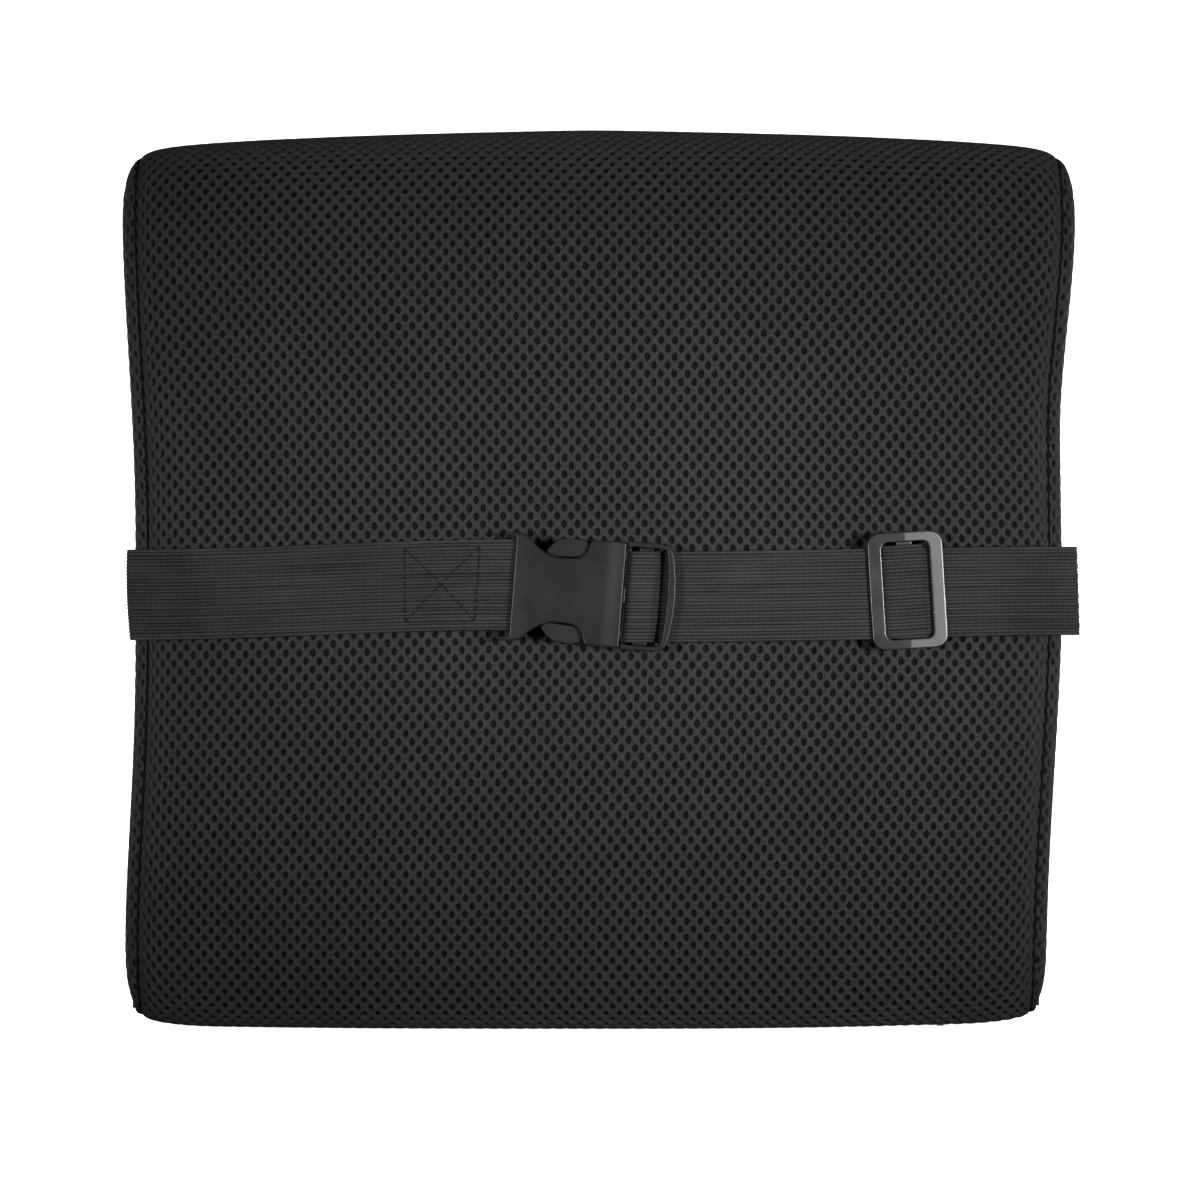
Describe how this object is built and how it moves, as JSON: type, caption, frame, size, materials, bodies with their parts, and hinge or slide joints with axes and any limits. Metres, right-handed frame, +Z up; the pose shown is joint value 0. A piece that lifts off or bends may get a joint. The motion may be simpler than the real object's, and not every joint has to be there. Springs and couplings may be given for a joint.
{
  "type": "lumbar support cushion",
  "caption": "Contoured foam back cushion in a zipped spacer-mesh cover, with an elastic strap, side-release buckle and strap adjuster across its back.",
  "frame": {"origin": "on the base, on the flat strip that the cushion stands on, halfway between its sides and near the middle of its depth", "axes": "+Z up, +X to the right of someone who looks at the strap side, -Y out of the strap side, +Y towards the user's back"},
  "size_m": [0.3408, 0.1169, 0.3235],
  "materials": {
    "memory_foam": "open-cell viscoelastic foam",
    "liner_knit": "thin white knit",
    "spacer_mesh": "black 3-D air mesh with staggered oval holes",
    "zip_tape": "woven tape",
    "zip_coil": "nylon coil",
    "zip_metal": "black coated metal",
    "elastic_webbing": "ribbed black elastic",
    "buckle_plastic": "satin moulded plastic",
    "adjuster_enamel": "satin black"
  },
  "bodies": {
    "cushion": {"foam_core": "memory_foam", "inner_liner": "liner_knit", "cover_front_panel": "spacer_mesh", "cover_back_panel": "spacer_mesh", "cover_left_gusset": "spacer_mesh", "cover_right_gusset": "spacer_mesh", "zipper_tape_back": "zip_tape", "zipper_tape_front": "zip_tape", "zipper_coil_back": "zip_coil", "zipper_coil_front": "zip_coil", "zipper_top_stop_back": "zip_metal", "zipper_top_stop_front": "zip_metal", "zipper_bottom_stop": "zip_metal", "left_strap": "elastic_webbing", "right_strap": "elastic_webbing", "buckle_body": "buckle_plastic"},
    "insert": {"buckle_insert": "buckle_plastic"},
    "upper_prong": {"buckle_prong_upper": "buckle_plastic"},
    "lower_prong": {"buckle_prong_lower": "buckle_plastic"},
    "adjuster": {"strap_adjuster": "adjuster_enamel", "adjuster_loop": "elastic_webbing"},
    "zip_slider": {"zipper_slider": "zip_metal"},
    "zip_pull": {"zipper_pull": "zip_metal"}
  },
  "joints": [
    {"name": "buckle_release", "type": "slide", "parent": "cushion", "child": "insert", "axis": [0.9969, 0, -0.0785], "range_m": [0, 0.0285], "deforming": ["buckle_prong_upper", "buckle_prong_lower", "right_strap"]},
    {"name": "upper_prong_squeeze", "type": "hinge", "parent": "insert", "child": "upper_prong", "pos_m": [0.00842, -0.05395, 0.16994], "axis": [0, -1, 0], "range_deg": [0, 7], "stiffness_Nm_per_rad": 2},
    {"name": "lower_prong_squeeze", "type": "hinge", "parent": "insert", "child": "lower_prong", "pos_m": [0.00626, -0.05395, 0.14242], "axis": [0, 1, 0], "range_deg": [0, 7], "stiffness_Nm_per_rad": 2},
    {"name": "adjuster_slide", "type": "slide", "parent": "insert", "child": "adjuster", "axis": [1, 0, 0], "range_m": [-0.058, 0.01], "deforming": ["right_strap", "adjuster_loop"]},
    {"name": "zip_slide", "type": "slide", "parent": "cushion", "child": "zip_slider", "axis": [-1, 0, 0], "range_m": [0, 0.25]},
    {"name": "zip_pull_turn", "type": "hinge", "parent": "zip_slider", "child": "zip_pull", "pos_m": [0.1235, -0.016, 0.001], "axis": [0, -1, 0], "range_deg": [0, 175]}
  ]
}
